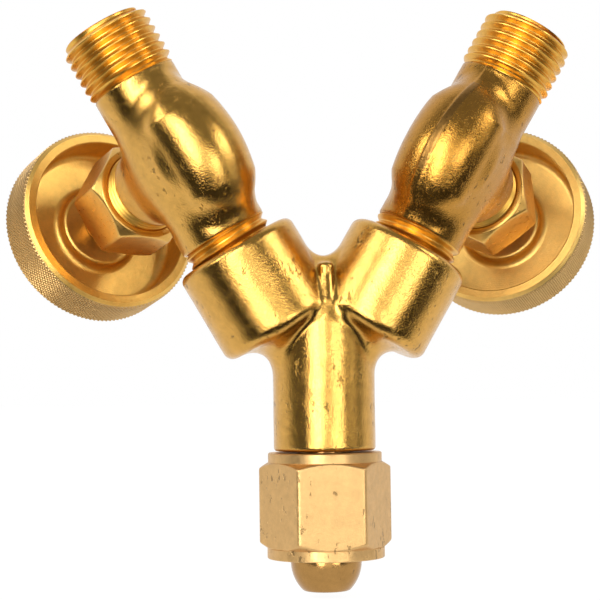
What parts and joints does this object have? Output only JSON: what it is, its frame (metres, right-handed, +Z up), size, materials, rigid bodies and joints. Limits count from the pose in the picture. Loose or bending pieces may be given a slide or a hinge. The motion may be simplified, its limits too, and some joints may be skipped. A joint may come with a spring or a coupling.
{
  "type": "y hose manifold with shut-off valves",
  "caption": "Brass gas-hose Y with a swivel-nut inlet and rounded nose at the foot, and a handwheel needle valve with a threaded outlet on each arm.",
  "frame": {"origin": "tip of the inlet's rounded nose, on the stem's axis", "axes": "+Z runs up the stem from the inlet to the fork, the arms lean towards +X and -X, and the handwheels point back, towards +Y"},
  "size_m": [0.0973, 0.046, 0.0882],
  "materials": {
    "forged_brass": "bright forged brass, lightly grained",
    "machined_brass": "turned and milled brass, satin",
    "steel": "plated or hardened steel",
    "ptfe": "white PTFE"
  },
  "bodies": {
    "body": {"y_body": "forged_brass", "inlet_nipple": "machined_brass", "left_valve_body": "forged_brass", "left_packing_nut": "machined_brass", "left_packing_washer": "machined_brass", "left_packing_ring": "ptfe", "left_packing_gland": "machined_brass", "right_valve_body": "forged_brass", "right_packing_nut": "machined_brass", "right_packing_washer": "machined_brass", "right_packing_ring": "ptfe", "right_packing_gland": "machined_brass"},
    "nut": {"inlet_nut": "machined_brass"},
    "left_ball": {"left_seat_ball": "steel"},
    "left_stem": {"left_valve_stem": "machined_brass", "left_handwheel": "machined_brass", "left_lock_washer": "steel", "left_handwheel_screw": "steel"},
    "right_ball": {"right_seat_ball": "steel"},
    "right_stem": {"right_valve_stem": "machined_brass", "right_handwheel": "machined_brass", "right_lock_washer": "steel", "right_handwheel_screw": "steel"}
  },
  "joints": [
    {"name": "inlet_nut_turn", "type": "hinge", "parent": "body", "child": "nut", "pos_m": [0, 0, 0], "axis": [0, 0, 1], "continuous": true},
    {"name": "left_stem_lift", "type": "slide", "parent": "body", "child": "left_ball", "axis": [-0.4576, 0.849, -0.2642], "range_m": [0, 0.00265]},
    {"name": "left_wheel_turn", "type": "hinge", "parent": "left_ball", "child": "left_stem", "pos_m": [-0.0212, 0, 0.06467], "axis": [-0.4576, 0.849, -0.2642], "range_deg": [0, 900]},
    {"name": "right_stem_lift", "type": "slide", "parent": "body", "child": "right_ball", "axis": [0.4278, 0.8695, -0.247], "range_m": [0, 0.00265]},
    {"name": "right_wheel_turn", "type": "hinge", "parent": "right_ball", "child": "right_stem", "pos_m": [0.0212, 0, 0.06467], "axis": [0.4278, 0.8695, -0.247], "range_deg": [0, 900]}
  ],
  "couplings": [
    {"joint": "left_stem_lift", "follows": "left_wheel_turn", "m_per_rad": 0.00016844},
    {"joint": "right_stem_lift", "follows": "right_wheel_turn", "m_per_rad": 0.00016844}
  ]
}
